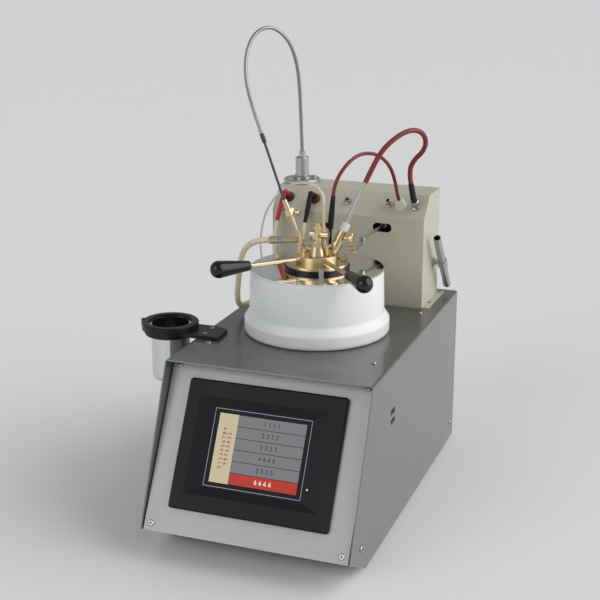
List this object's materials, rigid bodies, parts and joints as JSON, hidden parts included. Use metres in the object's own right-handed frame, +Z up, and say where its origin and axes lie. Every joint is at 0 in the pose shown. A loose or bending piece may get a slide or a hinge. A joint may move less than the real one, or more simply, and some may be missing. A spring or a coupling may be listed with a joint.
{
  "type": "closed-cup flash point tester",
  "caption": "Bench closed-cup flash point tester: sloping touch screen, heated well with stirred brass lid, rear drive tower, test leads and a spare cup holder.",
  "frame": {"origin": "middle of the base tray's underside; the rubber feet hang 8 mm below it", "axes": "+X to the user's right, +Y from the screen to the back, +Z up"},
  "size_m": [0.3654, 0.5124, 0.6282],
  "materials": {
    "cover": "dark grey-green hammertone paint",
    "tray": "light grey paint",
    "panel": "light grey satin anodised",
    "bezel": "black satin moulding",
    "screen": "lit screen behind glass",
    "rubber": "matt black",
    "steel": "turned steel",
    "zinc": "bright nickel plate",
    "mirror_steel": "polished stainless steel",
    "tower": "warm light grey paint",
    "black_plastic": "satin black",
    "dark_metal": "black oxide",
    "white_enamel": "white stoved enamel",
    "bath": "machined",
    "insulator": "black heat-resisting laminate",
    "brass": "turned brass",
    "red_rubber": "soft satin red",
    "black_rubber": "soft satin black",
    "white_plastic": "white",
    "red_cable": "silicone sheath",
    "conduit": "wound steel conduit",
    "clear_tube": "translucent plastic tube",
    "cream_hose": "cream silicone",
    "grip": "moulded black phenolic"
  },
  "bodies": {
    "cabinet": {"cover_shell": "cover", "base_tray": "tray", "rubber_feet": "rubber", "screws": "zinc", "front_panel": "panel", "screen_bezel": "bezel", "screen_glass": "screen", "rear_panels": "tray", "power_inlet": "black_plastic", "data_ports": "steel", "tower_housing": "tower", "motor_flange": "steel", "stirrer_motor": "dark_metal", "shutter_actuator": "dark_metal", "binding_posts": "black_plastic", "red_plug_boot": "red_rubber", "black_plug_boot": "black_rubber", "tower_sockets": "zinc", "round_connector": "white_plastic", "coax_boot": "black_rubber", "parking_tube": "steel", "heat_jacket": "white_enamel", "top_plate": "mirror_steel", "bath_block": "bath", "insulating_ring": "insulator", "test_cup": "brass", "lid_locator": "steel", "hose_fittings": "steel", "cup_holder": "black_plastic", "flex_shaft": "conduit", "probe_cable": "red_cable", "detector_cable": "red_cable", "gas_tube": "clear_tube", "gas_hose": "cream_hose", "red_heater_lead": "cream_hose", "black_heater_lead": "cream_hose"},
    "shutter": {"shutter_plate": "brass"},
    "burner": {"burner_nozzle": "brass"},
    "rod": {"drive_rod": "steel"},
    "link": {"drive_link": "steel"},
    "stirring": {"stirrer": "steel"},
    "rotor": {"motor_rotor": "steel"},
    "loose_cup": {"spare_cup": "mirror_steel"},
    "clamp": {"probe_clamp": "black_plastic"},
    "knob": {"tube_knob": "brass"},
    "rocker": {"power_rocker": "black_plastic"},
    "lid": {"lid_plate": "brass", "lid_collar": "brass", "handle_rods": "steel", "handle_grips": "grip", "stirrer_head": "brass", "guide_tube": "brass", "drive_extension": "dark_metal", "burner_post": "brass", "burner_stem": "brass", "burner_block": "brass", "probe_port": "steel", "probe_ferrule": "white_plastic", "temperature_probe": "steel", "flash_detector": "black_rubber"}
  },
  "joints": [
    {"name": "lid_lift", "type": "slide", "parent": "cabinet", "child": "lid", "axis": [0, 0, 1], "range_m": [0, 0.065], "deforming": ["flex_shaft", "probe_cable", "detector_cable", "gas_tube", "gas_hose"]},
    {"name": "shutter_turn", "type": "hinge", "parent": "lid", "child": "shutter", "pos_m": [0, 0.0134, 0.326], "axis": [0, 0, 1], "range_deg": [0, 20]},
    {"name": "burner_dip", "type": "hinge", "parent": "lid", "child": "burner", "pos_m": [0.0172, 0.0164, 0.346], "axis": [1, 0, 0], "range_deg": [0, 20]},
    {"name": "drive_slide", "type": "slide", "parent": "cabinet", "child": "rod", "axis": [0, 1, 0], "range_m": [0, 0.015]},
    {"name": "link_swing", "type": "hinge", "parent": "rod", "child": "link", "pos_m": [0.0405, 0.086, 0.338], "axis": [0, 0, 1], "range_deg": [-8.5, 0]},
    {"name": "motor_spin", "type": "hinge", "parent": "cabinet", "child": "rotor", "pos_m": [-0.092, 0.206, 0.35], "axis": [0, 0, 1], "continuous": true},
    {"name": "stirrer_spin", "type": "hinge", "parent": "lid", "child": "stirring", "pos_m": [0, 0.0134, 0.31], "axis": [0, 0, 1], "continuous": true},
    {"name": "spare_cup_lift", "type": "slide", "parent": "cabinet", "child": "loose_cup", "axis": [0, 0, 1], "range_m": [0, 0.085]},
    {"name": "probe_clamp_turn", "type": "hinge", "parent": "lid", "child": "clamp", "pos_m": [0.03627, 0.03067, 0.35455], "axis": [1, 0, 0], "continuous": true},
    {"name": "tube_knob_turn", "type": "hinge", "parent": "lid", "child": "knob", "pos_m": [-0.03072, 0.0134, 0.38852], "axis": [1, 0, 0], "continuous": true},
    {"name": "power_switch", "type": "hinge", "parent": "cabinet", "child": "rocker", "pos_m": [0.088, 0.2506, 0.105], "axis": [0, 0, 1], "range_deg": [-18, 0]}
  ],
  "couplings": [
    {"joint": "burner_dip", "follows": "shutter_turn", "ratio": 1},
    {"joint": "drive_slide", "follows": "shutter_turn", "m_per_rad": 0.042972},
    {"joint": "link_swing", "follows": "shutter_turn", "ratio": -0.425},
    {"joint": "stirrer_spin", "follows": "motor_spin", "ratio": 1}
  ]
}
